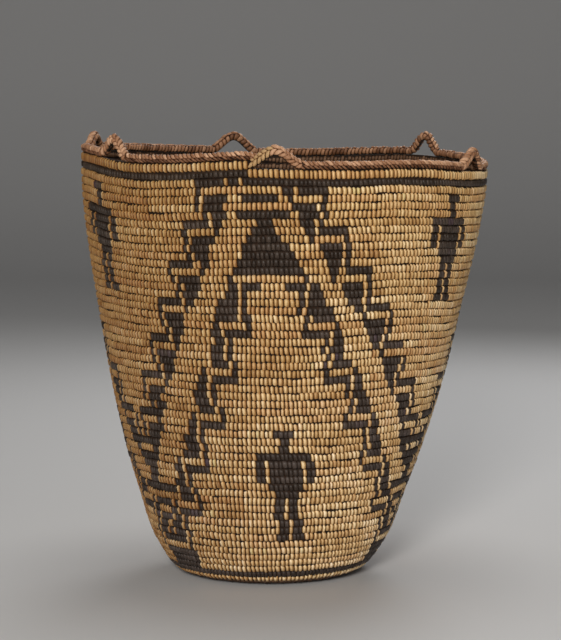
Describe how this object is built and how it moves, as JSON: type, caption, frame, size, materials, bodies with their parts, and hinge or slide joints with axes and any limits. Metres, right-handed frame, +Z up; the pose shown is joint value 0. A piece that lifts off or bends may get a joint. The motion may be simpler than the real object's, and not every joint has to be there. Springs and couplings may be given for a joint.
{
  "type": "burden basket",
  "caption": "Coiled basket with a flared bell-shaped body, a small flat base and small raised loops on its rim.",
  "frame": {"origin": "middle of the flat base, on the surface that the basket stands on", "axes": "+Z up, -Y towards the front, where the coil of the wall ends, +X to the right seen from the front"},
  "size_m": [0.3079, 0.3126, 0.3358],
  "materials": {
    "wall_imbrication": "satin folded bark and grass strips, tan with charcoal figures",
    "base_root": "dull brown root splints",
    "rim_root": "satin brown root splints in a false braid"
  },
  "bodies": {
    "root": {"wall_coil_01": "wall_imbrication", "wall_coil_02": "wall_imbrication", "wall_coil_03": "wall_imbrication", "wall_coil_04": "wall_imbrication", "wall_coil_05": "wall_imbrication", "wall_coil_06": "wall_imbrication", "wall_coil_07": "wall_imbrication", "wall_coil_08": "wall_imbrication", "wall_coil_09": "wall_imbrication", "wall_coil_10": "wall_imbrication", "wall_coil_11": "wall_imbrication", "wall_coil_12": "wall_imbrication", "wall_coil_13": "wall_imbrication", "wall_coil_14": "wall_imbrication", "wall_coil_15": "wall_imbrication", "wall_coil_16": "wall_imbrication", "wall_coil_17": "wall_imbrication", "wall_coil_18": "wall_imbrication", "wall_coil_19": "wall_imbrication", "wall_coil_20": "wall_imbrication", "wall_coil_21": "wall_imbrication", "wall_coil_22": "wall_imbrication", "wall_coil_23": "wall_imbrication", "wall_coil_24": "wall_imbrication", "wall_coil_25": "wall_imbrication", "wall_coil_26": "wall_imbrication", "wall_coil_27": "wall_imbrication", "wall_coil_28": "wall_imbrication", "base_coil_1": "base_root", "base_coil_2": "base_root", "base_coil_3": "base_root", "base_coil_4": "base_root", "base_start": "base_root", "rim_coil_1": "rim_root", "rim_coil_2": "rim_root", "rim_coil_3": "rim_root", "rim_coil_4": "rim_root", "rim_coil_5": "rim_root", "rim_coil_6": "rim_root", "rim_loop_front": "rim_root", "rim_loop_right": "rim_root", "rim_loop_back_right": "rim_root", "rim_loop_back": "rim_root", "rim_loop_back_left": "rim_root", "rim_loop_left": "rim_root"}
  },
  "joints": []
}
